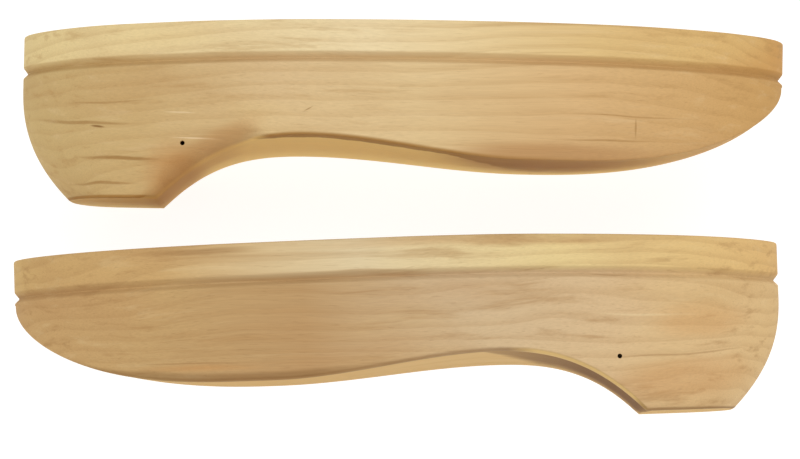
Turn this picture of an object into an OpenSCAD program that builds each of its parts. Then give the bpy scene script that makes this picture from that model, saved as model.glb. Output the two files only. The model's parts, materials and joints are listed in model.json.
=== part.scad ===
// A left and right pair of wooden clog soles, as they leave the carver:
// each is one block with a straight-sided rim, a V groove all round below
// it, a heel, an arch and a forepart that rises to the toe.
// The pair lies on its inner sides, footbeds towards +Y: the right sole at
// +Y with its toe towards +X, the left sole at -Y with its toe towards -X.

/* [Side profile] */
// Length from the back of the heel to the toe tip
sole_length = 265; // [245:1:285]
// Thickness at the heel, from the rim's crest to the heel bottom
heel_height = 61.5; // [58:0.5:64]
// Thickness at the ball of the foot
ball_height = 47; // [43:0.5:49]
// Thickness at the crown of the arch, on the outer side
arch_height = 39.5; // [36:0.5:41]
// How much thicker the arch is on the inner side
arch_slant = 3; // [0:0.5:4]
// Length of the heel bottom's front edge from the back of the heel
breast_x = 49; // [45:0.5:53]
// Slope of the heel's front face below the heel bottom's edge
breast_slope = 1.05; // [0.8:0.05:1.3]
// Crown of the arch from the back of the heel
crown_x = 99; // [92:1:106]
// Start of the level stretch under the ball
ball_x = 175; // [166:1:181]
// Length of the rising stretch from the ball to the toe tip, on the outer side
toe_rise_length = 76; // [66:1:78]
// How much longer that stretch is on the inner side
toe_slant = 14; // [0:1:14]
// Thickness left at the toe tip
toe_tip_height = 16; // [15:0.5:18]
// How far the rim falls away at the heel end
heel_drop = 4; // [0:0.5:5]
// How far the rim falls away at the toe end
toe_drop = 1.5; // [0:0.5:3]

/* [Plan outline] */
// Width at the heel
heel_width = 68; // [62:1:74]
// Width at the ball
ball_width = 89; // [83:1:96]
// How far the inner side curves in at the waist
waist_inset = 7; // [4:0.5:9]
// Length of the rounded heel end
heel_round = 35; // [30:1:40]
// Length of the rounded toe end on the little-toe side
outer_toe_round = 84; // [74:1:92]
// Length of the rounded toe end on the big-toe side
inner_toe_round = 60; // [52:1:70]
// Place of the toe tip across the width, from the inner side
toe_tip_w = 37; // [33:1:43]

/* [Rim and groove] */
// Height of the straight-sided rim
rim_height = 11; // [9:0.5:12]
// Height of the groove at its mouth
groove_width = 3.8; // [3:0.1:4.4]
// Depth of the groove at its root
groove_depth = 1.7; // [1.2:0.1:2.2]

/* [Walls] */
// Lean of the side walls, narrowing towards the underside
draft = 6; // [4:0.5:8]
// How far the back of the heel curves in at the heel bottom
heel_tuck = 17.5; // [13:0.5:18]
// Depth below the rim's crest where that curve begins
tuck_start = 22; // [18:1:26]

/* [Footbed] */
// Width of the level border round the footbed
border = 4; // [3:0.5:6]
// Depth of the footbed under the heel
heel_dish = 3.6; // [2:0.2:3.8]
// Depth of the footbed under the arch
arch_dish = 1.2; // [0.4:0.2:2]
// Depth of the footbed under the ball
ball_dish = 2.8; // [1.6:0.2:3.6]

/* [Locating hole] */
// Diameter of the small blind hole in the outer wall of the heel
hole_d = 1.6; // [1.2:0.1:2]
// Depth of the hole, measured on its axis
hole_length = 10; // [6:1:14]
// Place of the hole from the back of the heel
hole_x = 58; // [54:0.5:62]
// Place of the hole below the rim's crest
hole_depth = 42.5; // [36:0.5:45]

/* [Pair] */
// Distance between the two soles, centre to centre
pair_pitch = 74.5; // [74:0.5:100]
// How far each sole is shifted endwise, in opposite directions
end_shift = 1.5; // [0:0.5:4]
// Turn of the right sole on the ground
right_turn = -1.2; // [-1.5:0.1:1.5]
// Turn of the left sole on the ground
left_turn = 2; // [-2.5:0.1:2.5]

/* [Hidden] */
wood = [0.86, 0.72, 0.52];

// The underside, the toe outline and the heel's tuck are power curves.
toe_power = 2.4;      // fullness of the underside's rise to the toe
toe_root = 0.6;       // sharpness of that rise at the very tip
outline_power = 2.1;  // squareness of the rounded ends in plan
tuck_power = 2.35;    // how late the heel's tuck turns in
tuck_spread = 1.4;    // how fast the tuck fades towards the sides
dish_power = 3;       // steepness of the footbed's edge

heel_max_x = 0.14 * sole_length;   // widest place of the heel
waist_x = 0.43 * sole_length;      // narrowest place of the inner side
inner_ball_x = 0.72 * sole_length; // widest place of the inner side
outer_ball_x = 0.66 * sole_length; // widest place of the outer side
crest_x = 0.42 * sole_length;      // highest place of the rim
arch_dish_x = 0.42 * sole_length;
ball_dish_x = 0.70 * sole_length;

heel_tip_w = 0.46 * heel_width;    // place of the heel end across the width
root_share = 0.6; // place of the groove's root between its two lips
groove_root = rim_height + root_share * groove_width; // depth of the groove's root
block_top = rim_height + groove_width;                // depth of its lower lip
drill_length = 30; // long enough to reach out of the wall
end_blend = 0.3;   // share of a normal's length component where endwise lean starts

hole_facets = 32;
heel_steps = 15;   // stations from the heel end to the heel's front edge
front_steps = 50;  // stations from there to the toe tip
wall_steps = 8;    // rings down the side wall
across_steps = 6;  // strips across the underside
dish_rings = [1, 0.96, 0.88, 0.75, 0.55, 0.3, 0.1];

function clamp01(t) = min(1, max(0, t));
function mix(a, b, t) = a + (b - a) * t;
function ease(t) = let (c = clamp01(t)) c * c * (3 - 2 * c);
function between(x, a, b) = (x - a) / (b - a);

// Full at 0 and nothing at 1, rounded like the end of a superellipse
function round_off(t) =
    pow(1 - pow(clamp01(t), outline_power), 1 / outline_power);

// How far the rim top lies below its crest
function drop(x) =
    x < crest_x ? heel_drop * pow(between(x, crest_x, 0), 2)
    : toe_drop * pow(between(x, crest_x, sole_length), 2);

// Depth of the underside below the crest; inner goes from 0 on the outer
// side to 1 on the inner side
function breast_depth(t) =
    mix(heel_height, arch_height, ease(t))
    - breast_slope * (crown_x - breast_x) * t * pow(1 - t, 2);
function toe_depth(t) =
    mix(toe_drop + toe_tip_height, ball_height,
        pow(1 - pow(clamp01(t), toe_power), toe_root));
function slant_depth(x) =
    arch_slant * ease(between(x, breast_x, crown_x)) * (1 - ease(between(x, crown_x, ball_x)));
function under_depth(x, inner) =
    let (rise_x = sole_length - toe_rise_length - toe_slant * inner)
    inner * slant_depth(x) + (
        x <= breast_x ? heel_height :
        x <= crown_x ? breast_depth(between(x, breast_x, crown_x)) :
        x <= rise_x ? mix(arch_height, ball_height, ease(between(x, crown_x, ball_x))) :
        toe_depth(between(x, rise_x, sole_length)));

// Plan outline: distance w from the ground side of the rim, at length x
function spine(x) = mix(heel_tip_w, toe_tip_w, x / sole_length);
function heel_round_off(x) = round_off(between(x, heel_round, 0));
function widen(x) = sin(90 * clamp01(x / outer_ball_x));
function outer_w(x) =
    let (full = mix(heel_width, ball_width, between(widen(x), widen(heel_round), 1)))
    let (toe = round_off(between(x, sole_length - outer_toe_round, sole_length)))
    mix(spine(x), full, toe * heel_round_off(x));
function inner_w(x) =
    let (to_waist = ease(between(x, heel_max_x, waist_x)))
    let (to_ball = ease(between(x, waist_x, inner_ball_x)))
    let (toe = round_off(between(x, sole_length - inner_toe_round, sole_length)))
    mix(spine(x), waist_inset * (to_waist - to_ball), toe * heel_round_off(x));

// Stations lie closer together towards both rounded ends
stations = concat(
    [for (i = [0 : heel_steps]) breast_x * (1 - cos(90 * i / heel_steps))],
    [for (i = [1 : front_steps]) mix(breast_x, sole_length, sin(90 * i / front_steps))]);
last = len(stations) - 1;
ring_size = 2 * last;

// The ring runs heel to toe on the outer side and back on the inner side
outline = concat(
    [for (x = stations) [x, outer_w(x)]],
    [for (i = [last - 1 : -1 : 1]) [stations[i], inner_w(stations[i])]]);
normals = [for (i = [0 : ring_size - 1])
    let (d = outline[(i + 1) % ring_size] - outline[(i + ring_size - 1) % ring_size])
    [-d.y, d.x] / norm(d)];
function inset(i, distance) = outline[i] - distance * normals[i];
function is_inner(i) = i > last ? 1 : 0;

// Points are [length, height above the rim's crest, width]
function at(p, depth) = [p.x, -depth, p.y];
function even_ring(depth, distance) =
    [for (i = [0 : ring_size - 1])
        let (p = inset(i, distance)) at(p, depth + drop(p.x))];

// Side wall: it leans inwards, except round the back of the heel, where it
// is upright at first and then tucks in lengthwise
function lean(i, depth) =
    let (n = normals[i])
    let (back = pow(max(0, -n.x), 2))
    tan(draft) * (1 - back) * (depth - block_top)
    * [n.x * clamp01(abs(n.x) / end_blend), n.y];
function tuck(x, depth) =
    heel_tuck * pow(clamp01(between(depth, tuck_start, heel_height)), tuck_power)
    * pow(clamp01(between(x, heel_round, 0)), tuck_spread);
function wall_point(i, depth) =
    outline[i] - lean(i, depth) + [tuck(outline[i].x, depth), 0];
function wall_foot(i) = wall_point(i, under_depth(outline[i].x, is_inner(i)));
function wall_ring(f) = [for (i = [0 : ring_size - 1])
    let (x = outline[i].x, inner = is_inner(i))
    let (start = block_top + drop(x))
    at(wall_point(i, mix(start, under_depth(x, inner), f)),
       mix(start, under_depth(wall_foot(i).x, inner), f))];

// Footbed: rings that shrink towards a line along the middle
function middle(i) =
    let (x = min(sole_length - inner_toe_round, max(heel_round, outline[i].x)))
    [x, (outer_w(x) + inner_w(x)) / 2];
function dish_depth(x) =
    mix(mix(heel_dish, arch_dish, ease(between(x, heel_max_x, arch_dish_x))),
        ball_dish, ease(between(x, arch_dish_x, ball_dish_x)));
function dish_ring(k) = [for (i = [0 : ring_size - 1])
    let (p = mix(middle(i), inset(i, border), k))
    at(p, drop(p.x) + dish_depth(p.x) * (1 - pow(k, dish_power)))];

rings = concat(
    [for (k = [len(dish_rings) - 1 : -1 : 0]) dish_ring(dish_rings[k])],
    [even_ring(0, 0), even_ring(rim_height, 0), even_ring(groove_root, groove_depth)],
    [for (k = [0 : wall_steps]) wall_ring(k / wall_steps)]);
ring_points = [for (r = rings) each r];
foot_start = len(ring_points) - ring_size;

// Underside: rows of points across the width between the two wall feet
function across(i) = [for (k = [1 : across_steps - 1])
    let (p = mix(wall_foot(i), wall_foot(ring_size - i), k / across_steps))
    at(p, under_depth(p.x, k / across_steps))];
under_start = len(ring_points);
sole_points = concat(ring_points, [for (i = [1 : last - 1]) each across(i)]);

// Index of point k of the underside's row i, with the wall feet at its ends
function under(i, k) =
    i == 0 || i == last || k == 0 ? foot_start + i :
    k == across_steps ? foot_start + ring_size - i :
    under_start + (i - 1) * (across_steps - 1) + k - 1;

function quad(a, b, c, d) =
    concat(a == b || b == c || a == c ? [] : [[a, b, c]],
           a == c || c == d || a == d ? [] : [[a, c, d]]);
function band(r) = [for (i = [0 : ring_size - 1])
    let (a = r * ring_size + i, b = r * ring_size + (i + 1) % ring_size)
    each quad(a, b, b + ring_size, a + ring_size)];
// Strip that closes the footbed between its two innermost sides
function closing(i) = quad(i, (ring_size - i) % ring_size, ring_size - i - 1, i + 1);

sole_faces = concat(
    [for (r = [0 : len(rings) - 2]) each band(r)],
    [for (i = [0 : last - 1]) each closing(i)],
    [for (i = [0 : last - 1]) for (k = [0 : across_steps - 1])
        each quad(under(i, k), under(i + 1, k), under(i + 1, k + 1), under(i, k + 1))]);

// The sole leans by its draft, so its inner wall is flat on the ground
function leaned_y(p) = p.y * cos(draft) - p.z * sin(draft);
function turned_y(p, side, turn) =
    side * (p.x - sole_length / 2) * sin(turn) + leaned_y(p) * cos(turn);
right_y = [for (p = sole_points) turned_y(p, 1, right_turn)];
left_y = [for (p = sole_points) turned_y(p, -1, left_turn)];
right_place_y = -(max(right_y) + min(left_y) - pair_pitch) / 2;

module lay_down(side) {
    place_y = side > 0 ? right_place_y : right_place_y - pair_pitch;
    translate([side * end_shift, place_y, block_top * sin(draft)])
        rotate([0, 0, side > 0 ? right_turn : left_turn])
            rotate([draft, 0, 0])
                mirror([side > 0 ? 0 : 1, 0, 0])
                    translate([-sole_length / 2, 0, 0])
                        children();
}

module locating_hole() {
    wall_w = outer_w(hole_x) - tan(draft) * (hole_depth - block_top);
    translate([hole_x, -hole_depth, wall_w - hole_length])
        cylinder(d = hole_d, h = drill_length, $fn = hole_facets);
}

module sole() {
    difference() {
        polyhedron(points = sole_points, faces = sole_faces, convexity = 6);
        locating_hole();
    }
}

module right_sole() {
    color(wood) lay_down(1) sole();
}

module left_sole() {
    color(wood) lay_down(-1) sole();
}

right_sole();
left_sole();
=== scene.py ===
"""A pair of wooden clog soles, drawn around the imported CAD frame.

Each sole is one carved block, so each CAD node is replaced by one finely
built mesh of the same form: the rim, the V groove, the side wall, the
underside and the footbed, with the small roundings that sanding leaves.
A sole is shaped in its own coordinates, in millimetres: x from the back of
the heel, y up from the crest of the rim, z from its inner to its outer side.
Depths are measured down from the crest. A sole's place in the frame comes
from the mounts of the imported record.
"""
import json
import math

import bmesh
import bpy
import numpy as np
from mathutils import Matrix, Vector, noise


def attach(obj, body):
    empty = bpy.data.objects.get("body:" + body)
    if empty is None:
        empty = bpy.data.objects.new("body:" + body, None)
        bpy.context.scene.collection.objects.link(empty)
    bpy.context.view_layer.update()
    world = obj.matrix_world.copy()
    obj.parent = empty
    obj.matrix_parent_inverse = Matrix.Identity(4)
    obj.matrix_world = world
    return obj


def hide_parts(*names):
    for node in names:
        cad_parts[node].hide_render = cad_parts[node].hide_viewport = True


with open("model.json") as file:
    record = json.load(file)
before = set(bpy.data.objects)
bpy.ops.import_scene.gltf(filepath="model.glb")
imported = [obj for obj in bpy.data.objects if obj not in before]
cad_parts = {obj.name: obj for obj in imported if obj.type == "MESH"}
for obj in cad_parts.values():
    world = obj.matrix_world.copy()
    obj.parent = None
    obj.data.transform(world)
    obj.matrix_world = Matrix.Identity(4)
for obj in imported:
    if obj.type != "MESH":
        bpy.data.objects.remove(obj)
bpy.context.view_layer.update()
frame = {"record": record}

MM = 0.001

# ---------------------------------------------------------------- the sole
# Side profile, as in the CAD part; heights go from the underside to the crest
SOLE_LENGTH = 265.0
HEEL_HEIGHT = 61.5
BALL_HEIGHT = 47.0
ARCH_HEIGHT = 39.5
ARCH_SLANT = 3.0
BREAST_X = 49.0
BREAST_SLOPE = 1.05
CROWN_X = 99.0
BALL_X = 175.0
TOE_RISE_LENGTH = 76.0
TOE_SLANT = 14.0
TOE_TIP_HEIGHT = 16.0  # this one goes to the rim top at the toe
TOE_POWER = 2.4        # the two powers of the toe's curve
TOE_ROOT = 0.6
HEEL_DROP = 4.0        # how far the rim top's two ends lie below its crest
TOE_DROP = 1.5
CREST_X = 0.42 * SOLE_LENGTH

# Plan outline
HEEL_WIDTH = 68.0
BALL_WIDTH = 89.0
WAIST_INSET = 7.0
HEEL_ROUND = 35.0
OUTER_TOE_ROUND = 84.0
INNER_TOE_ROUND = 60.0
HEEL_TIP_W = 0.46 * HEEL_WIDTH
TOE_TIP_W = 37.0
OUTLINE_POWER = 2.1
HEEL_MAX_X = 0.14 * SOLE_LENGTH
WAIST_X = 0.43 * SOLE_LENGTH
INNER_BALL_X = 0.72 * SOLE_LENGTH
OUTER_BALL_X = 0.66 * SOLE_LENGTH

# Rim, groove and walls
RIM_HEIGHT = 11.0
GROOVE_WIDTH = 3.8
GROOVE_DEPTH = 1.7
GROOVE_ROOT = RIM_HEIGHT + 0.6 * GROOVE_WIDTH
BLOCK_TOP = RIM_HEIGHT + GROOVE_WIDTH
DRAFT = math.radians(6.0)
END_TURN = 0.3        # how far a wall faces an end before it leans that way in full
HEEL_TUCK = 17.5
TUCK_START = 22.0
TUCK_POWER = 2.35
TUCK_SPREAD = 1.4

# Footbed
BORDER = 4.0
HEEL_DISH = 3.6
ARCH_DISH = 1.2
BALL_DISH = 2.8
ARCH_DISH_X = 0.42 * SOLE_LENGTH
BALL_DISH_X = 0.70 * SOLE_LENGTH
DISH_POWER = 3.0

# Locating hole in the heel's outer wall: the place of its axis, and its facets
HOLE_X = 58.0
HOLE_DEPTH = 42.5
HOLE_SIDES = 48

# Roundings left by the sander, and how far its surface waves
RIM_EDGE = 1.0
GROOVE_EDGE = 0.4
LIP_LENGTH = 0.5      # straight stretch below the groove's lower lip
FOOT_EDGE = 0.8
EDGE_SHARE = 0.45     # most of a wall's height that its bottom edge may take
WORN_EDGE = 13.0      # how much rounder the right sole's worn heel front is
WORN_RISE = (40.0, 54.0)  # places along the sole where the wear begins and is full
WORN_FALL = (90.0, 72.0)  # and where it ends and is still full
WAVES = ((28.0, 0.05), (75.0, 0.10))  # wave length and height, in mm
WAVE_SHIFT = Vector((37.0, 11.0, 5.0))  # makes the waves of the two soles differ
ROOM = (0.9955, 0.9940, 0.9930)  # scale that keeps the waves inside the CAD box
SHARP_ANGLE = math.radians(50.0)  # edges sharper than this are not smoothed

# Fineness of the mesh
HEEL_STEPS = 66
FRONT_STEPS = 190
WALL_STEPS = 34
EDGE_STEPS = 8
CORNER_STEPS = 4
ACROSS_STEPS = 32
DISH_STEPS = 26
PROFILE_STEP = 1.2


def clamp01(t):
    return np.clip(t, 0.0, 1.0)


def mix(a, b, t):
    return a + (b - a) * t


def ease(t):
    c = clamp01(t)
    return c * c * (3 - 2 * c)


def between(x, a, b):
    return (x - a) / (b - a)


def round_off(t):
    """Full at 0 and nothing at 1, rounded like the end of a superellipse."""
    return (1 - clamp01(t) ** OUTLINE_POWER) ** (1 / OUTLINE_POWER)


def drop(x):
    """How far the rim top lies below its crest."""
    to_heel = HEEL_DROP * between(x, CREST_X, 0) ** 2
    to_toe = TOE_DROP * between(x, CREST_X, SOLE_LENGTH) ** 2
    return np.where(x < CREST_X, to_heel, to_toe)


def under_depth(x, inner):
    """Depth of the underside; inner runs from 0 on the outer side to 1."""
    t = clamp01(between(x, BREAST_X, CROWN_X))
    dip = BREAST_SLOPE * (CROWN_X - BREAST_X) * t * (1 - t) ** 2
    breast = mix(HEEL_HEIGHT, ARCH_HEIGHT, ease(t)) - dip
    ball = mix(ARCH_HEIGHT, BALL_HEIGHT, ease(between(x, CROWN_X, BALL_X)))
    rise_x = SOLE_LENGTH - TOE_RISE_LENGTH - TOE_SLANT * inner
    rise = clamp01(between(x, rise_x, SOLE_LENGTH)) ** TOE_POWER
    toe = mix(TOE_DROP + TOE_TIP_HEIGHT, BALL_HEIGHT, (1 - rise) ** TOE_ROOT)
    slant = ARCH_SLANT * ease(t) * (1 - ease(between(x, CROWN_X, BALL_X)))
    level = np.select([x <= BREAST_X, x <= CROWN_X, x <= rise_x],
                      [HEEL_HEIGHT + 0 * x, breast, ball], toe)
    return level + inner * slant


def spine(x):
    return mix(HEEL_TIP_W, TOE_TIP_W, x / SOLE_LENGTH)


def heel_round_off(x):
    return round_off(between(x, HEEL_ROUND, 0))


def widen(x):
    return np.sin(math.pi / 2 * clamp01(x / OUTER_BALL_X))


def outer_w(x):
    full = mix(HEEL_WIDTH, BALL_WIDTH, between(widen(x), widen(HEEL_ROUND), 1))
    toe = round_off(between(x, SOLE_LENGTH - OUTER_TOE_ROUND, SOLE_LENGTH))
    return mix(spine(x), full, toe * heel_round_off(x))


def inner_w(x):
    to_waist = ease(between(x, HEEL_MAX_X, WAIST_X))
    to_ball = ease(between(x, WAIST_X, INNER_BALL_X))
    toe = round_off(between(x, SOLE_LENGTH - INNER_TOE_ROUND, SOLE_LENGTH))
    inset = WAIST_INSET * (to_waist - to_ball)
    return mix(spine(x), inset, toe * heel_round_off(x))


def dish_depth(x):
    heel_part = mix(HEEL_DISH, ARCH_DISH, ease(between(x, HEEL_MAX_X, ARCH_DISH_X)))
    return mix(heel_part, BALL_DISH, ease(between(x, ARCH_DISH_X, BALL_DISH_X)))


def plan_ring():
    """The outline, heel to toe on the outer side and back, and its normals."""
    heel = BREAST_X * (1 - np.cos(math.pi / 2 * np.arange(HEEL_STEPS + 1) / HEEL_STEPS))
    along = np.sin(math.pi / 2 * np.arange(1, FRONT_STEPS + 1) / FRONT_STEPS)
    stations = np.concatenate([heel, mix(BREAST_X, SOLE_LENGTH, along)])
    back = stations[-2:0:-1]
    ring = np.concatenate([np.stack([stations, outer_w(stations)], 1),
                           np.stack([back, inner_w(back)], 1)])
    step = np.roll(ring, -1, 0) - np.roll(ring, 1, 0)
    normals = np.stack([-step[:, 1], step[:, 0]], 1)
    return ring, normals / np.linalg.norm(step, axis=1)[:, None]


def at(plan, depth):
    """Points of the sole from their places in plan and their depths."""
    return np.stack([plan[:, 0], -depth, plan[:, 1]], 1)


def soften(corners, radii):
    """Rounds the inner corners of an open line with short curves."""
    line = [np.array(corners[0], float)]
    for before, corner, after, radius in zip(corners, corners[1:], corners[2:], radii):
        before, corner, after = (np.array(p, float) for p in (before, corner, after))
        start = corner + (before - corner) * radius / np.linalg.norm(before - corner)
        end = corner + (after - corner) * radius / np.linalg.norm(after - corner)
        for t in np.linspace(0, 1, CORNER_STEPS + 1):
            line.append((1 - t) ** 2 * start + 2 * t * (1 - t) * corner + t * t * end)
    return line + [np.array(corners[-1], float)]


def densify(line, step):
    """Adds points to an open line wherever its stretches are longer than step."""
    dense = [line[0]]
    for a, b in zip(line, line[1:]):
        count = max(1, math.ceil(np.linalg.norm(b - a) / step))
        dense += [mix(a, b, k / count) for k in range(1, count + 1)]
    return dense


def rim_rings(ring, normals):
    """Rings over the border, down the rim, through the groove to its lower lip."""
    corners = [(BORDER, 0), (0, 0), (0, RIM_HEIGHT), (GROOVE_DEPTH, GROOVE_ROOT),
               (0, BLOCK_TOP), (0, BLOCK_TOP + LIP_LENGTH)]
    line = soften(corners, [RIM_EDGE, GROOVE_EDGE, GROOVE_EDGE, GROOVE_EDGE])
    rings = []
    for inset, depth in densify(line, PROFILE_STEP):
        plan = ring - inset * normals
        rings.append(at(plan, depth + drop(plan[:, 0])))
    return rings


def dish_rings(ring, normals):
    """Rings of the footbed, from its middle line out to its border."""
    x = np.clip(ring[:, 0], HEEL_ROUND, SOLE_LENGTH - INNER_TOE_ROUND)
    middle = np.stack([x, (outer_w(x) + inner_w(x)) / 2], 1)
    rings = []
    for step in range(1, DISH_STEPS):
        k = step / DISH_STEPS
        plan = mix(middle, ring - BORDER * normals, k)
        depth = drop(plan[:, 0]) + dish_depth(plan[:, 0]) * (1 - k ** DISH_POWER)
        rings.append(at(plan, depth))
    return rings


def wall_plan(ring, normals, depth):
    """The side wall in plan at a depth: it leans in, and tucks in at the heel."""
    back = np.maximum(0, -normals[:, 0]) ** 2
    ends = normals[:, 0] * clamp01(np.abs(normals[:, 0]) / END_TURN)
    lean = math.tan(DRAFT) * (1 - back) * (depth - BLOCK_TOP)
    tuck = HEEL_TUCK * clamp01(between(depth, TUCK_START, HEEL_HEIGHT)) ** TUCK_POWER
    tuck = tuck * clamp01(between(ring[:, 0], HEEL_ROUND, 0)) ** TUCK_SPREAD
    return ring - lean[:, None] * np.stack([ends, normals[:, 1]], 1) \
        + np.stack([tuck, np.zeros_like(tuck)], 1)


def foot_radius(x, inner, worn):
    """Radius of the bottom edge: crisp, but up to worn rounder on the outer
    side where the heel meets the arch."""
    where = ease(between(x, *WORN_RISE)) * ease(between(x, *WORN_FALL))
    return FOOT_EDGE + worn * where * (1 - inner)


def wall_rings(ring, normals, worn):
    """Rings down the side wall and round its bottom edge."""
    x = ring[:, 0]
    inner = (np.arange(len(ring)) > len(ring) // 2).astype(float)
    start = BLOCK_TOP + LIP_LENGTH + drop(x)
    foot = wall_plan(ring, normals, under_depth(x, inner))
    height = under_depth(foot[:, 0], inner) - start
    radius = np.minimum(foot_radius(x, inner, worn), EDGE_SHARE * height)
    rings = []

    def add(fraction, inwards):
        plan = wall_plan(ring, normals, mix(start, under_depth(x, inner), fraction))
        plan = plan - (radius * inwards)[:, None] * normals
        rings.append(at(plan, mix(start, under_depth(plan[:, 0], inner), fraction)))

    for step in range(1, WALL_STEPS + 1):
        add((1 - radius / height) * step / WALL_STEPS, np.zeros_like(x))
    for step in range(1, EDGE_STEPS + 1):
        turn = math.pi / 2 * step / EDGE_STEPS
        add(1 - radius / height * (1 - math.sin(turn)), np.full_like(x, 1 - math.cos(turn)))
    return rings


def under_rows(foot):
    """Rows of points across the underside, closer together near its two edges."""
    size = len(foot)
    share = (1 - np.cos(math.pi * np.arange(1, ACROSS_STEPS) / ACROSS_STEPS)) / 2
    rows = []
    for i in range(1, size // 2):
        row = mix(foot[i], foot[size - i], share[:, None])
        row[:, 1] = -under_depth(row[:, 0], share)
        rows.append(row)
    return rows


def ring_faces(count, size):
    """Faces between neighbours of count closed rings, each of size points."""
    faces = []
    for r in range(count - 1):
        a, b = r * size, (r + 1) * size
        faces += [(a + i, b + i, b + (i + 1) % size, a + (i + 1) % size) for i in range(size)]
    return faces


def middle_faces(size):
    """Faces that close the footbed's first ring over its middle line."""
    return [(i, i + 1, size - i - 1, (size - i) % size) for i in range(size // 2)]


def under_faces(foot_start, size):
    """Faces across the underside, inside the ring that starts at foot_start."""
    last = size // 2

    def point(i, k):
        if i in (0, last) or k == 0:
            return foot_start + i
        if k == ACROSS_STEPS:
            return foot_start + size - i
        return foot_start + size + (i - 1) * (ACROSS_STEPS - 1) + k - 1

    return [(point(i, k), point(i, k + 1), point(i + 1, k + 1), point(i + 1, k))
            for i in range(last) for k in range(ACROSS_STEPS)]


def sole_mesh(name, worn):
    """The closed mesh of a sole whose heel front is up to worn rounder."""
    ring, normals = plan_ring()
    size = len(ring)
    rings = dish_rings(ring, normals) + rim_rings(ring, normals)
    rings += wall_rings(ring, normals, worn)
    points = np.concatenate(rings + under_rows(rings[-1]))
    faces = ring_faces(len(rings), size) + middle_faces(size)
    faces += under_faces((len(rings) - 1) * size, size)
    # At the heel and the toe some corners of a face are one point
    corners = [list(dict.fromkeys(face)) for face in faces]
    mesh = bpy.data.meshes.new(name)
    mesh.from_pydata(points.tolist(), [], [face for face in corners if len(face) > 2])
    skin = bmesh.new()
    skin.from_mesh(mesh)
    bmesh.ops.recalc_face_normals(skin, faces=skin.faces)
    skin.to_mesh(mesh)
    skin.free()
    return mesh


def wave(mesh, seed):
    """Moves the points in and out a little, as hand sanding leaves a surface."""
    count = len(mesh.vertices)
    places = np.empty(count * 3)
    normals = np.empty(count * 3)
    mesh.vertices.foreach_get("co", places)
    mesh.vertices.foreach_get("normal", normals)
    places, normals = places.reshape(-1, 3), normals.reshape(-1, 3)
    shift = seed * WAVE_SHIFT
    moved = np.zeros(count)
    for length, height in WAVES:
        moved += [height * noise.noise(Vector(p) / length + shift) for p in places]
    middle = (places.min(0) + places.max(0)) / 2
    places = middle + (places - middle) * ROOM
    mesh.vertices.foreach_set("co", (places + moved[:, None] * normals).ravel())


# The hole's size and the soles' places come from the mounts
mounts = {m["name"]: m for m in frame["record"]["mounts"]}
hole_radius = mounts["right_locating_hole"]["dims"]["r_mm"]
hole_length = mounts["right_locating_hole"]["dims"]["length_mm"]
hole_mouth_w = float(outer_w(np.array(HOLE_X))) \
    - math.tan(DRAFT) * (HOLE_DEPTH - BLOCK_TOP)


def drill(sole):
    """Cuts the locating hole with a true cylinder, half of it outside the wall."""
    cutter_mesh = bpy.data.meshes.new("drill")
    cutter = bpy.data.objects.new("drill", cutter_mesh)
    bpy.context.scene.collection.objects.link(cutter)
    shape = bmesh.new()
    bmesh.ops.create_cone(shape, cap_ends=True, segments=HOLE_SIDES,
                          radius1=hole_radius, radius2=hole_radius, depth=2 * hole_length,
                          matrix=Matrix.Translation((HOLE_X, -HOLE_DEPTH, hole_mouth_w)))
    shape.to_mesh(cutter_mesh)
    shape.free()
    cut = sole.modifiers.new("hole", "BOOLEAN")
    cut.object = cutter
    cut.operation = "DIFFERENCE"
    cut.solver = "EXACT"
    bpy.context.view_layer.update()
    graph = bpy.context.evaluated_depsgraph_get()
    bored = bpy.data.meshes.new_from_object(sole.evaluated_get(graph))
    sole.modifiers.clear()
    plain, sole.data = sole.data, bored
    bpy.data.meshes.remove(plain)
    bpy.data.objects.remove(cutter)
    bpy.data.meshes.remove(cutter_mesh)
    bored.name = sole.name


def store(mesh):
    """Keeps, for the material, each point's place in the block, its depth below
    the rim top, how far it lies in from the underside's outer edge and how far
    up from the underside."""
    places = np.empty(len(mesh.vertices) * 3)
    mesh.vertices.foreach_get("co", places)
    places = places.reshape(-1, 3)
    ring, normals = plan_ring()
    foot = wall_plan(ring, normals, under_depth(ring[:, 0], 0))
    last = len(ring) // 2
    x = places[:, 0]
    outer = np.interp(x, foot[:last + 1, 0], foot[:last + 1, 1])
    inner = np.interp(x, foot[:last - 1:-1, 0], foot[:last - 1:-1, 1])
    inwards = outer - places[:, 2]
    share = clamp01(inwards / np.maximum(outer - inner, 1.0))
    kept = mesh.attributes.new("block", "FLOAT_VECTOR", "POINT")
    kept.data.foreach_set("vector", (places * (1, -1, 1)).ravel())
    for name, values in (("inwards", inwards), ("above", under_depth(x, share) + places[:, 1]),
                         ("rim", -places[:, 1] - drop(x))):
        kept = mesh.attributes.new(name, "FLOAT", "POINT")
        kept.data.foreach_set("value", values)


def sole_place(side, mirror):
    """Matrix from a sole's own millimetres to the frame's metres."""
    width_axis = Vector(mounts[side + "_locating_hole"]["axis"]).normalized()
    up_axis = -Vector(mounts[side + "_heel_bottom"]["axis"])
    up_axis = (up_axis - up_axis.dot(width_axis) * width_axis).normalized()
    long_axis = up_axis.cross(width_axis) * (-1 if mirror else 1)
    turn = Matrix((long_axis, up_axis, width_axis)).transposed() * MM
    middle = Vector((HOLE_X, -HOLE_DEPTH, hole_mouth_w - hole_length / 2))
    place = turn.to_4x4()
    place.translation = Vector(mounts[side + "_locating_hole"]["pos_m"]) - turn @ middle
    return place


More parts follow.
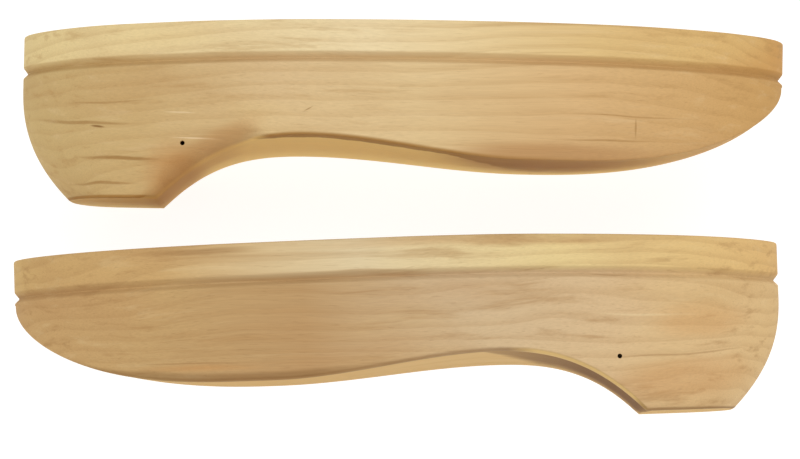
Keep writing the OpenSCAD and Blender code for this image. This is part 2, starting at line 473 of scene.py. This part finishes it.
# ---------------------------------------------------------------- material
# Noises of the wood: repeats per millimetre along, down and across the block,
# detail, roughness, and what is added to the sole's own seed
NOISES = {
    "wander": ((0.014, 0.045, 0.045), 2.0, 0.45, 0),
    "fibre": ((0.035, 2.6, 2.6), 3.0, 0.60, 1),
    "band": ((0.006, 0.30, 0.16), 4.0, 0.60, 2),
    "ring": ((0.004, 0.02, 0.02), 1.0, 0.50, 3),
    "brown": ((0.012, 0.035, 0.02), 2.0, 0.50, 4),
    "fleck": ((0.16, 2.3, 1.3), 1.0, 0.50, 5),
    "gold": ((0.009, 0.03, 0.02), 2.0, 0.50, 6),
    "ragged": ((0.15, 0.2, 0.1), 2.0, 0.60, 7),
}
NOISE_MIDDLE = (0.5, 0.5, 0.5)

# Levels of a noise where its tone begins and where it is full
PATCHES = (0.50, 0.72)
DARK_BANDS = (0.52, 0.70)
PALE_BANDS = (0.46, 0.30)
FLECKS = (0.62, 0.72)

# Growth rings: how far they wobble, in rings, and the shares of a ring where
# the late wood begins and is full, and where it ends and is still full
RING_WOBBLE = 5.0
LATE_RISE = (0.35, 0.93)
LATE_FALL = (1.0, 0.94)

# Places, in mm, where tones fade in; first where they are nothing, then full
UNDERSIDE = (1.6, 0.5)      # above the underside
UNDERSIDE_TONE_SPAN = (0.5, 3.5)      # in from its outer edge
FOOT_OF_WALL = (0.2, 0.9)   # above the underside
OUTER_WALL = (12.0, 6.0)    # in from the underside's outer edge
RIM_FOOT = (-0.3, 0.4)      # below the rim's lower edge
BLOCK_HEAD = (0.1, -0.6)    # below the block's upper edge
UPPER_FACE = (0.4, -0.6)    # below the groove's root

# Sizes of bands and marks
SHADE_REACH = 75.0         # width of the widest band of painted shade, in mm
HIGHLIGHT_FADE = 0.6             # share of the painted highlight's width that is full
SPOT_CORE = 0.35            # share of a mark's size that is full

# Surface: how much fibres, late wood and flecks show, and how it shines
FIBRE_CONTRAST = 0.30
LATE_RELIEF = -0.35
FLECK_RELIEF = 0.5
BUMP_STRENGTH = 0.35
BUMP_HEIGHT = 0.12 * MM
FIBRE_RANGE = (0.3, 0.7)
ROUGHNESS = (0.62, 0.78)
SPECULAR = 0.05


def srgb(red, green, blue):
    """Linear colour from the usual 0 to 255 steps."""
    def linear(step):
        c = step / 255
        return c / 12.92 if c <= 0.04045 else ((c + 0.055) / 1.055) ** 2.4
    return (linear(red), linear(green), linear(blue), 1.0)


class Graph:
    """Short calls that add nodes to a shader tree and join them up."""

    def __init__(self, tree):
        self.tree = tree

    def node(self, kind, settings=None, **inputs):
        made = self.tree.nodes.new(kind)
        for name, value in (settings or {}).items():
            setattr(made, name, value)
        for name, value in inputs.items():
            self.feed(made.inputs[name.replace("_", " ")], value)
        return made

    def feed(self, socket, value):
        if isinstance(value, bpy.types.NodeSocket):
            self.tree.links.new(value, socket)
        else:
            socket.default_value = value

    def attribute(self, name, output="Fac"):
        return self.node("ShaderNodeAttribute", {"attribute_name": name}).outputs[output]

    def split(self, vector):
        return self.node("ShaderNodeSeparateXYZ", Vector=vector).outputs

    def join(self, x, y, z):
        return self.node("ShaderNodeCombineXYZ", X=x, Y=y, Z=z).outputs[0]

    def math(self, operation, *values):
        made = self.node("ShaderNodeMath", {"operation": operation})
        for socket, value in zip(made.inputs, values):
            self.feed(socket, value)
        return made.outputs[0]

    def vector(self, operation, *values):
        made = self.node("ShaderNodeVectorMath", {"operation": operation})
        for socket, value in zip(made.inputs, values):
            self.feed(socket, value)
        return made.outputs["Value" if operation == "LENGTH" else "Vector"]

    def noise(self, point, kind, seed, output=0):
        """One of the wood's noises; most of it lies between 0.3 and 0.7."""
        stretch, detail, roughness, own = NOISES[kind]
        scaled = self.vector("MULTIPLY", point, stretch)
        made = self.node("ShaderNodeTexNoise", {"noise_dimensions": "4D"}, Vector=scaled,
                         W=seed + own, Scale=1.0, Detail=detail, Roughness=roughness)
        return made.outputs[output]

    def ramp(self, value, low, high, start=0.0, end=1.0):
        """Smooth rise from start to end while value goes from low to high."""
        made = self.node("ShaderNodeMapRange", {"interpolation_type": "SMOOTHSTEP"})
        for socket, given in zip(made.inputs, (value, low, high, start, end)):
            self.feed(socket, given)
        return made.outputs[0]

    def blend(self, amount, first, second):
        made = self.node("ShaderNodeMix", {"data_type": "RGBA"})
        for name, value in zip(("Factor_Float", "A_Color", "B_Color"), (amount, first, second)):
            socket = next(s for s in made.inputs if s.identifier == name)
            self.feed(socket, value)
        return next(s for s in made.outputs if s.identifier == "Result_Color")

    def tint(self, colour, level, span, strength, tone):
        """Lays a tone over a colour, up to strength, as level goes through span."""
        return self.blend(self.ramp(level, *span, 0.0, strength), colour, tone)

    def stops(self, value, stops):
        """Colour ramp through (place, colour) stops."""
        made = self.node("ShaderNodeValToRGB")
        elements = made.color_ramp.elements
        while len(elements) < len(stops):
            elements.new(0.5)
        for element, (place, colour) in zip(elements, sorted(stops)):
            element.position = place
            element.color = colour
        self.feed(made.inputs[0], value)
        return made.outputs[0]

    def spot(self, point, centre, half, tilt):
        """1 inside an ellipsoid, fading to 0 at its surface; tilt is its slope."""
        away = self.vector("SUBTRACT", point, centre)
        if tilt:
            x, y, z = self.split(away)
            away = self.join(x, self.math("MULTIPLY_ADD", x, -tilt, y), z)
        size = self.vector("LENGTH", self.vector("DIVIDE", away, half))
        return self.ramp(size, SPOT_CORE, 1.0, 1.0, 0.0)


def levels(*pairs):
    """Stops of a grey ramp from pairs of place along the sole, in mm, and level."""
    return [(x / SOLE_LENGTH, (level,) * 4) for x, level in pairs]


def fade(g, depth, edge, span):
    """Rises while depth goes through a span that is measured from an edge."""
    return g.ramp(depth, edge + span[0], edge + span[1])


def wandering_grain(g, block, look):
    """The point of the block, moved as the grain wanders down and across it."""
    wander = g.noise(block, "wander", look["seed"], "Color")
    wander = g.vector("SUBTRACT", wander, NOISE_MIDDLE)
    wander = g.vector("MULTIPLY", wander, (0.0, look["wander"], look["wander"]))
    return g.vector("ADD", block, wander)


def late_wood(g, block, point, look):
    """Dark part of the growth rings round a heart that lies far above the block."""
    x, y, z = g.split(point)
    heart_y = g.math("MULTIPLY_ADD", x, look["heart_slope"], look["heart_y"])
    heart_z = g.math("MULTIPLY_ADD", x, look["heart_veer"], look["heart_z"])
    away = g.join(0.0, g.math("SUBTRACT", y, heart_y), g.math("SUBTRACT", z, heart_z))
    rings = g.math("DIVIDE", g.vector("LENGTH", away), look["ring_gap"])
    uneven = g.noise(block, "ring", look["seed"])
    within = g.math("FRACT", g.math("MULTIPLY_ADD", uneven, RING_WOBBLE, rings))
    return g.math("MULTIPLY", g.ramp(within, *LATE_RISE), g.ramp(within, *LATE_FALL))


def colour_and_light(g, place, below_rim, look):
    """Colour along the block, passing into the rim's colour at the groove; partly the wood's
    own tone, partly painted light, with the upright rim painted lighter than the leaning wall.
    """
    block_colour = g.stops(place, look["along"])
    rim_colour = g.stops(place, look["rim"])
    return g.blend(g.ramp(below_rim, GROOVE_ROOT, RIM_HEIGHT), block_colour, rim_colour)


def add_figure(g, colour, block, point, late, fleck, look):
    """Broad patches, growth rings, bands along the grain and short flecks."""
    seed = look["seed"]
    brown = g.noise(block, "brown", seed)
    gold = g.noise(block, "gold", seed)
    band = g.noise(point, "band", seed)
    colour = g.tint(colour, brown, PATCHES, look["brown"], look["brown_tone"])
    colour = g.tint(colour, gold, PATCHES, look["gold"], look["gold_tone"])
    colour = g.blend(g.math("MULTIPLY", late, look["rings"]), colour, look["ring_tone"])
    colour = g.tint(colour, band, DARK_BANDS, look["bands"], look["ring_tone"])
    colour = g.tint(colour, band, PALE_BANDS, look["pale"], look["pale_tone"])
    return g.tint(colour, fleck, FLECKS, look["flecks"], look["dark_tone"])


def add_underside_tone_and_light(g, colour, place, inwards, under, look):
    """The underside's golden tone, from a little inside its outer edge: partly its own tone,
    partly painted light where the underside lies in shade.
    """
    along = g.stops(place, look["under"])
    underside_light = g.math("MULTIPLY", along, g.ramp(inwards, *UNDERSIDE_TONE_SPAN))
    return g.blend(g.math("MULTIPLY", underside_light, under), colour, look["under_tone_and_light"])


def add_marks(g, colour, point, look):
    """Single streaks, patches and the knot mark; a few patches are painted shade."""
    for centre, half, tilt, amount, tone in look["marks"]:
        mark = g.spot(point, centre, half, tilt)
        colour = g.blend(g.math("MULTIPLY", mark, amount), colour, look[tone])
    return colour


def add_groove_shade(g, colour, below_rim, look):
    """Painted shade in the groove, and more of it on the groove's upper face."""
    inside = g.math("MULTIPLY", fade(g, below_rim, RIM_HEIGHT, RIM_FOOT),
                    fade(g, below_rim, BLOCK_TOP, BLOCK_HEAD))
    upper = fade(g, below_rim, GROOVE_ROOT, UPPER_FACE)
    strength = g.math("MULTIPLY_ADD", upper, look["groove_top"], look["groove"])
    return g.blend(g.math("MULTIPLY", inside, strength), colour, look["shade_tone"])


def add_shade_bands(g, colour, block, place, inwards, above, under, look):
    """Bands of painted shade on the underside, in from its outer edge,
    and on the outer wall, up from the same edge."""
    wall = g.math("MULTIPLY", g.ramp(above, *FOOT_OF_WALL), g.ramp(inwards, *OUTER_WALL))
    ragged = g.noise(block, "ragged", look["seed"])
    ragged = g.math("MULTIPLY_ADD", ragged, look["ragged"], 1 - look["ragged"] / 2)
    for away, where, reach, amount, ends in (
            (inwards, under, "in_reach", "in_shade", ragged),
            (above, wall, "up_reach", "up_shade", 1.0)):
        width = g.math("MULTIPLY", ends, SHADE_REACH)
        limit = g.math("MULTIPLY", g.stops(place, look[reach]), width)
        faded = g.ramp(g.math("DIVIDE", away, limit), 1.0, look["crisp"])
        painted_shade = g.math("MULTIPLY", g.stops(place, look[amount]), where)
        colour = g.blend(g.math("MULTIPLY", faded, painted_shade), colour, look["shade_tone"])
    return colour


def add_edge_highlight(g, colour, place, inwards, under, look):
    """A painted highlight: a narrow pale strip along the underside's outer edge."""
    strip = g.ramp(inwards, look["highlight"], look["highlight"] * HIGHLIGHT_FADE)
    highlight = g.math("MULTIPLY", strip, under)
    highlight = g.math("MULTIPLY", highlight, g.stops(place, look["highlight_along"]))
    return g.blend(highlight, colour, look["gold_tone"])


def add_surface(g, colour, late, fibre, fleck):
    """Shades the colour with the fibres, and gives them a slight relief."""
    light = g.math("MULTIPLY_ADD", fibre, FIBRE_CONTRAST, 1 - FIBRE_CONTRAST / 2)
    shaded = g.node("ShaderNodeVectorMath", {"operation": "SCALE"}, Vector=colour, Scale=light)
    relief = g.math("MULTIPLY_ADD", late, LATE_RELIEF, fibre)
    relief = g.math("MULTIPLY_ADD", fleck, FLECK_RELIEF, relief)
    bump = g.node("ShaderNodeBump", Strength=BUMP_STRENGTH, Distance=BUMP_HEIGHT, Height=relief)
    shader = g.node("ShaderNodeBsdfPrincipled", Base_Color=shaded.outputs["Vector"],
                    Roughness=g.ramp(fibre, *FIBRE_RANGE, *ROUGHNESS),
                    Normal=bump.outputs[0], Specular_IOR_Level=SPECULAR)
    g.node("ShaderNodeOutputMaterial", Surface=shader.outputs[0])


def wood(name, look):
    """Bare sanded hardwood, coloured through the whole block."""
    material = bpy.data.materials.new(name)
    material.use_nodes = True
    material.node_tree.nodes.clear()
    g = Graph(material.node_tree)
    block = g.attribute("block", "Vector")
    inwards = g.attribute("inwards")
    above = g.attribute("above")
    below_rim = g.attribute("rim")
    place = g.math("DIVIDE", g.split(block)[0], SOLE_LENGTH)
    under = g.ramp(above, *UNDERSIDE)
    point = wandering_grain(g, block, look)
    late = late_wood(g, block, point, look)
    fibre = g.noise(point, "fibre", look["seed"])
    fleck = g.noise(point, "fleck", look["seed"])
    colour = colour_and_light(g, place, below_rim, look)
    colour = add_figure(g, colour, block, point, late, fleck, look)
    colour = add_underside_tone_and_light(g, colour, place, inwards, under, look)
    colour = add_marks(g, colour, point, look)
    colour = add_groove_shade(g, colour, below_rim, look)
    colour = add_shade_bands(g, colour, block, place, inwards, above, under, look)
    colour = add_edge_highlight(g, colour, place, inwards, under, look)
    add_surface(g, colour, late, fibre, fleck)
    return material


# Looks of the two soles. Strengths are shares of 1. "along" and "rim" are
# colours at shares of the sole's length, partly the wood's own tone and partly
# painted light: the upright rim is painted lighter than the leaning wall. Marks
# are (centre, half size, slope, strength, tone), in mm along, down and across
# the block; a few are patches of painted shade. The reaches are shares of the
# widest band of painted shade, and the width of the painted highlight along the
# underside's outer edge is in mm.
NOWHERE = levels((0, 0), (265, 0))
RIGHT_LOOK = {
    "seed": 4.0, "wander": 7.0,
    "heart_y": -132.0, "heart_slope": -0.012, "heart_z": 34.0, "heart_veer": 0.03,
    "ring_gap": 4.4, "rings": 0.17, "bands": 0.38, "pale": 0.14, "flecks": 0.12,
    "brown": 0.35, "gold": 0.30,
    # colours along the block and on the rim: partly the wood's tone, partly painted light, the
    # rim painted lighter than the wall
    "along": [(0.0, srgb(198, 170, 116)), (0.16, srgb(200, 170, 118)),
              (0.34, srgb(213, 184, 138)), (0.52, srgb(216, 188, 140)),
              (0.72, srgb(210, 174, 124)), (1.0, srgb(196, 152, 92))],
    "rim": [(0.0, srgb(222, 198, 142)), (0.45, srgb(230, 209, 165)),
            (0.75, srgb(216, 184, 127)), (1.0, srgb(200, 151, 88))],
    "brown_tone": srgb(182, 140, 93), "gold_tone": srgb(224, 196, 132),
    "ring_tone": srgb(172, 132, 80), "pale_tone": srgb(232, 208, 166),
    "dark_tone": srgb(128, 90, 48), "streak_tone": srgb(150, 110, 60),
    # the last colour on the next line is the colour of the painted shade in the groove and along
    # the underside's edge
    "orange_tone": srgb(188, 138, 84), "shade_tone": srgb(152, 106, 44),
    "marks": [
        ((24, 35.0, 60), (22, 1.0, 30), 0.045, 0.55, "streak_tone"),
        ((28.6, 36.7, 60), (3.2, 0.7, 30), 0.12, 0.8, "dark_tone"),
        ((38, 48.5, 60), (19, 0.9, 30), 0.05, 0.7, "streak_tone"),
        ((31, 56.0, 60), (14, 0.7, 30), 0.06, 0.55, "streak_tone"),
        ((33, 28.0, 60), (18, 0.5, 30), 0.0, 0.4, "streak_tone"),
        ((63, 41.2, 68), (11, 0.35, 12), 0.02, 0.8, "pale_tone"),
        ((57, 32.5, 68), (7, 0.4, 12), 0.03, 0.5, "pale_tone"),
        # the next two orange patches are painted shade where the heel front curves away from the
        # wall
        ((55, 54.0, 40), (14, 17, 90), 0.0, 0.6, "orange_tone"),
        ((70, 42.0, 40), (22, 6.5, 90), -0.5, 0.45, "orange_tone"),
        ((121, 25.6, 70), (9, 0.5, 20), 0.01, 0.35, "streak_tone"),
        ((184, 45.0, 70), (48, 5.5, 70), 0.0, 0.9, "brown_tone"),
        ((205, 31.5, 70), (34, 0.5, 25), 0.0, 0.55, "streak_tone"),
        ((200, 40.0, 70), (28, 0.6, 25), 0.01, 0.65, "streak_tone"),
        ((212, 35.5, 80), (0.5, 4.5, 20), 0.0, 0.5, "streak_tone"),
        ((101, 30.5, 75), (2.4, 0.4, 10), -0.55, 0.8, "streak_tone"),
    ],
    # the underside's tone on the next line is partly painted light, lighter than the walls to
    # make up for the underside's shade
    "under_tone_and_light": srgb(244, 214, 142), "highlight": 1.0, "highlight_along": NOWHERE,
    "under": levels((0, 0.4), (46, 0.4), (54, 0.8), (84, 0.95), (150, 0.95), (200, 0.8),
                    (240, 0.2)),
    # the next four entries set how far the bands of painted shade reach and how strong they are,
    # along the sole
    "in_reach": levels((0, 0.02), (44, 0.02), (80, 0.06), (90, 0.12), (150, 0.18), (178, 1),
                       (265, 1)),
    "in_shade": levels((0, 0.3), (20, 0.6), (46, 0.6), (52, 0), (80, 0), (88, 0.8), (150, 0.8),
                      (166, 0.5), (186, 0.18), (215, 0.12), (240, 0)),
    "up_reach": levels((0, 0.02), (265, 0.02)),
    "up_shade": levels((0, 0), (20, 0.5), (46, 0.5), (52, 0), (265, 0)),
    # the two groove strengths on the next line are painted shade in the groove, more of it on
    # its upper face
    "ragged": 0.9, "crisp": 0.72, "groove": 0.22, "groove_top": 0.08,
}
LEFT_LOOK = {
    "seed": 11.0, "wander": 8.0,
    "heart_y": -148.0, "heart_slope": 0.012, "heart_z": 40.0, "heart_veer": -0.03,
    "ring_gap": 4.8, "rings": 0.18, "bands": 0.44, "pale": 0.14, "flecks": 0.15,
    "brown": 0.40, "gold": 0.25,
    # colours along the block and on the rim: partly the wood's tone, partly painted light, the
    # rim painted lighter than the wall
    "along": [(0.0, srgb(214, 180, 128)), (0.22, srgb(209, 179, 137)),
              (0.42, srgb(201, 175, 138)), (0.62, srgb(182, 147, 102)),
              (0.82, srgb(188, 154, 105)), (1.0, srgb(196, 158, 106))],
    "rim": [(0.0, srgb(216, 176, 116)), (0.3, srgb(222, 198, 142)),
            (0.55, srgb(216, 196, 156)), (0.8, srgb(197, 162, 110)), (1.0, srgb(206, 171, 112))],
    "brown_tone": srgb(180, 138, 92), "gold_tone": srgb(214, 180, 118),
    "ring_tone": srgb(162, 122, 76), "pale_tone": srgb(228, 206, 160),
    "dark_tone": srgb(120, 84, 46), "streak_tone": srgb(146, 106, 62),
    # the last colour on the next line is the colour of the painted shade in the groove and along
    # the underside's edge
    "orange_tone": srgb(196, 144, 88), "shade_tone": srgb(110, 74, 36),
    "marks": [
        ((199, 2.6, 86), (26, 1.7, 16), 0.0, 0.5, "streak_tone"),
        ((100, 1.5, 80), (110, 3.0, 16), 0.0, 0.45, "brown_tone"),
        ((147, 18.0, 70), (17, 0.5, 25), 0.06, 0.55, "streak_tone"),
        ((61, 15.8, 68), (9, 0.4, 20), 0.0, 0.4, "streak_tone"),
        ((51, 27.5, 66), (27, 0.5, 14), 0.0, 0.35, "pale_tone"),
        ((30, 30.0, 60), (22, 8, 35), 0.0, 0.35, "orange_tone"),
        ((37, 42.0, 60), (30, 0.6, 30), 0.0, 0.40, "streak_tone"),
        ((34, 50.0, 60), (34, 9, 35), 0.0, 0.35, "orange_tone"),
        ((196, 42.0, 70), (32, 2.2, 25), 0.0, 0.6, "orange_tone"),
        ((200, 40.4, 70), (30, 0.5, 25), 0.0, 0.6, "streak_tone"),
        ((170, 30.0, 70), (40, 14, 25), 0.0, 0.35, "brown_tone"),
    ],
    # the underside's tone on the next line is partly painted light for the shaded underside; the
    # number after it is the width of the painted highlight on the underside's outer edge, in mm
    "under_tone_and_light": srgb(202, 163, 97), "highlight": 5.0,
    "under": levels((0, 0.7), (200, 0.7), (240, 0.1)),
    # painted highlight on the underside's outer edge, strongest along the heel front
    "highlight_along": levels((0, 0), (48, 0), (54, 0.85), (86, 0.85), (96, 0), (265, 0)),
    # the next four entries: bands of painted shade along the underside's edge, covering the heel
    # front, and up the wall
    "in_reach": levels((0, 0.02), (48, 0.02), (50, 1), (84, 1), (104, 0.08), (200, 0.06),
                       (265, 0.06)),
    "in_shade": levels((0, 0.6), (48, 0.6), (51, 0.95), (68, 0.95), (84, 0.75), (104, 0.5),
                      (190, 0.45), (235, 0.3), (250, 0)),
    "up_reach": levels((0, 0.02), (130, 0.02), (160, 0.05), (215, 0.05), (235, 0.02)),
    "up_shade": levels((0, 0.3), (46, 0.3), (52, 0), (130, 0), (160, 0.45), (215, 0.45),
                      (240, 0)),
    # the two groove strengths on the next line are painted shade in the groove, more of it on
    # its upper face
    "ragged": 0.3, "crisp": 0.5, "groove": 0.02, "groove_top": 0.14,
}


# ------------------------------------------------------------- the two soles
def make_sole(side, mirror, worn, look):
    """One sole in place of its CAD node; worn rounds its heel front."""
    node = side + "_sole"
    mesh = sole_mesh(node + "_wood", worn)
    wave(mesh, look["seed"])
    sole = bpy.data.objects.new(node + "_wood", mesh)
    bpy.context.scene.collection.objects.link(sole)
    drill(sole)
    store(sole.data)
    sole.data.transform(sole_place(side, mirror))
    if mirror:
        sole.data.flip_normals()
    sole.data.shade_smooth()
    sole.data.set_sharp_from_angle(angle=SHARP_ANGLE)
    sole.data.materials.clear()
    sole.data.materials.append(wood(side + "_wood", look))
    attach(sole, side)
    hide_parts(node)


make_sole("right", False, WORN_EDGE, RIGHT_LOOK)
make_sole("left", True, 0.0, LEFT_LOOK)


# ------------------------------------------- floor, light and camera, in metres
FLOOR_HALF = 4.0
FLOOR_COLOUR = (0.35, 0.35, 0.35, 1.0)
FLOOR_ROUGHNESS = 0.9
FLOOR_SPECULAR = 0.1
FLOOR_GLOW = 0.85
WHITE = (1.0, 1.0, 1.0, 1.0)
SKY = 0.70
LAMP_TARGET = Vector((0.0, 0.0, 0.05))
CAMERA_ELEVATION = math.radians(80.6)
CAMERA_DISTANCE = 1.868
CAMERA_PIVOT = Vector((0.0, 0.0, 0.080))
CAMERA_SIDE = 0.0002    # how far its aim lies beside and below the pivot
CAMERA_DROP = 0.01050
LENS = 248.6            # in mm, on a sensor of 36 mm
SENSOR = 36.0


def floor():
    """A pale sheet that glows a little, so that it stays pale round the soles."""
    mesh = bpy.data.meshes.new("floor")
    corners = [(-FLOOR_HALF, -FLOOR_HALF, 0), (FLOOR_HALF, -FLOOR_HALF, 0),
               (FLOOR_HALF, FLOOR_HALF, 0), (-FLOOR_HALF, FLOOR_HALF, 0)]
    mesh.from_pydata(corners, [], [(0, 1, 2, 3)])
    sheet = bpy.data.objects.new("floor", mesh)
    bpy.context.scene.collection.objects.link(sheet)
    material = bpy.data.materials.new("floor")
    material.use_nodes = True
    shader = material.node_tree.nodes["Principled BSDF"]
    shader.inputs["Base Color"].default_value = FLOOR_COLOUR
    shader.inputs["Roughness"].default_value = FLOOR_ROUGHNESS
    shader.inputs["Specular IOR Level"].default_value = FLOOR_SPECULAR
    shader.inputs["Emission Color"].default_value = WHITE
    shader.inputs["Emission Strength"].default_value = FLOOR_GLOW
    mesh.materials.append(material)


def lamp(name, place, size, power):
    """A round soft lamp that shines on the soles."""
    light = bpy.data.lights.new(name, "AREA")
    light.shape = "DISK"
    light.size = size
    light.energy = power
    made = bpy.data.objects.new(name, light)
    made.location = place
    made.rotation_euler = (LAMP_TARGET - Vector(place)).to_track_quat("-Z", "Y").to_euler()
    bpy.context.scene.collection.objects.link(made)


def sky():
    world = bpy.data.worlds.new("studio")
    world.use_nodes = True
    background = world.node_tree.nodes["Background"]
    background.inputs["Color"].default_value = WHITE
    background.inputs["Strength"].default_value = SKY
    bpy.context.scene.world = world


def camera():
    """Looks down on the outer walls, a little from the undersides' side."""
    back = Vector((0.0, -math.cos(CAMERA_ELEVATION), math.sin(CAMERA_ELEVATION)))
    up = Vector((0.0, math.sin(CAMERA_ELEVATION), math.cos(CAMERA_ELEVATION)))
    place = CAMERA_PIVOT + back * CAMERA_DISTANCE
    aim = CAMERA_PIVOT - CAMERA_DROP * up + Vector((CAMERA_SIDE, 0.0, 0.0))
    data = bpy.data.cameras.new("camera")
    data.sensor_width = SENSOR
    data.lens = LENS
    made = bpy.data.objects.new("camera", data)
    made.location = place
    made.rotation_euler = (aim - place).to_track_quat("-Z", "Y").to_euler()
    bpy.context.scene.collection.objects.link(made)
    bpy.context.scene.camera = made


floor()
sky()
lamp("key", (0.5, 0.9, 1.9), 1.4, 10.0)
lamp("fill", (-0.1, -1.0, 1.6), 1.0, 8.0)
camera()
bpy.context.scene.view_settings.view_transform = "Standard"
